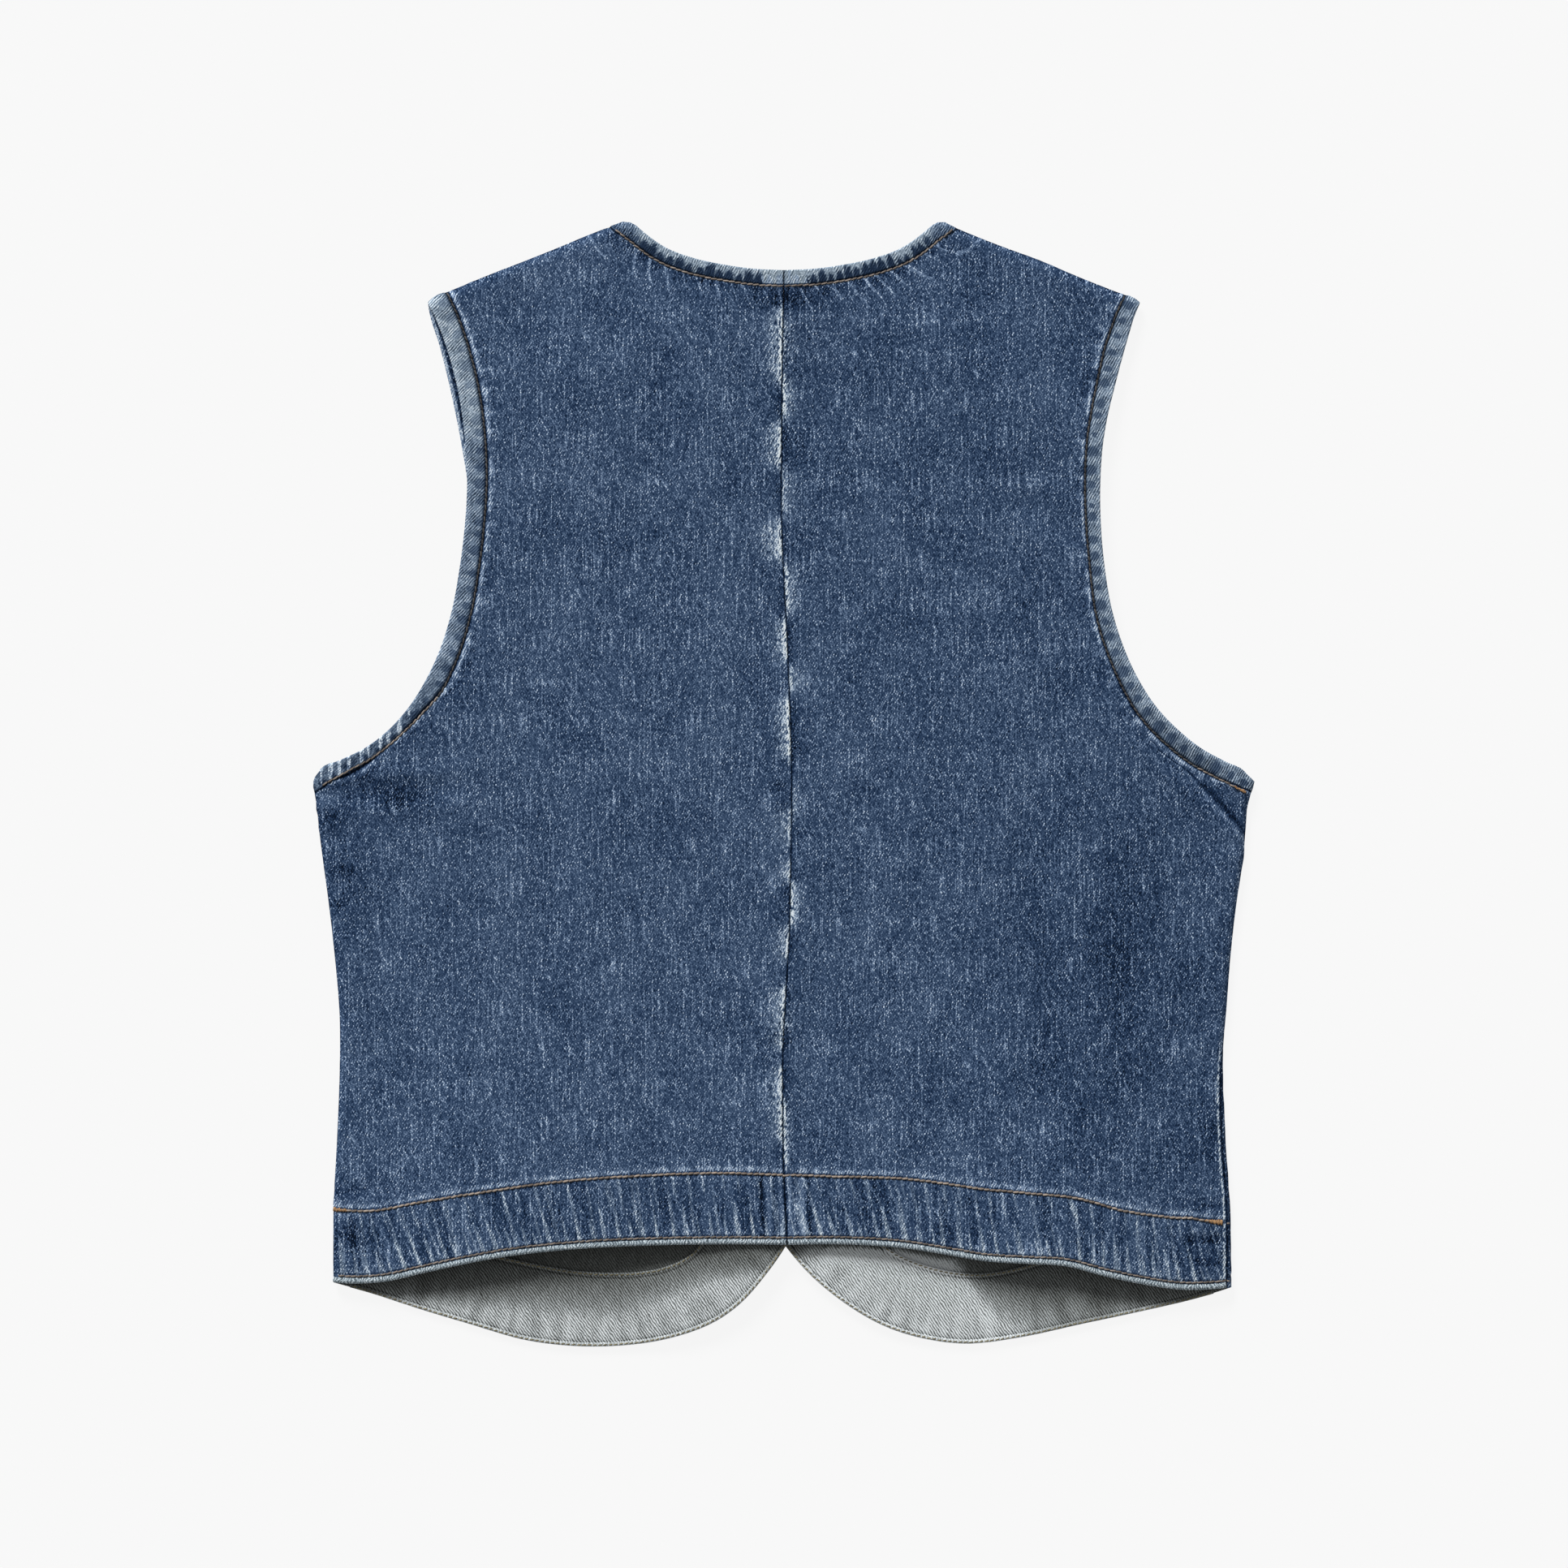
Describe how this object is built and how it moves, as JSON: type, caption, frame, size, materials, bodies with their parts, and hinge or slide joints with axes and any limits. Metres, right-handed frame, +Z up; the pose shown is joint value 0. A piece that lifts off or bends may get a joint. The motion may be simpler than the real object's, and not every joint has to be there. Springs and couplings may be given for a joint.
{
  "type": "denim vest",
  "caption": "Sleeveless buttoned denim vest laid flat on its front with its back up, V-necked fronts with round hems that show below the back, faced inside.",
  "frame": {"origin": "middle of the footprint of the vest, on the surface it lies on", "axes": "+Y from the hem to the neck, +X to the wearer's right, +Z up from the surface, out of the back"},
  "size_m": [0.4634, 0.5542, 0.014],
  "materials": {
    "denim": "washed indigo twill, matte",
    "denim_reverse": "pale grey weft side of the twill, matte",
    "button": "dark blue resin, satin",
    "thread": "brown polyester sewing thread"
  },
  "bodies": {
    "root": {"back_left": "denim", "back_right": "denim", "front_left": "denim", "front_right": "denim", "front_facing_left": "denim_reverse", "front_facing_right": "denim_reverse", "button_1": "button", "button_2": "button", "button_3": "button", "button_4": "button", "button_5": "button"}
  },
  "joints": []
}
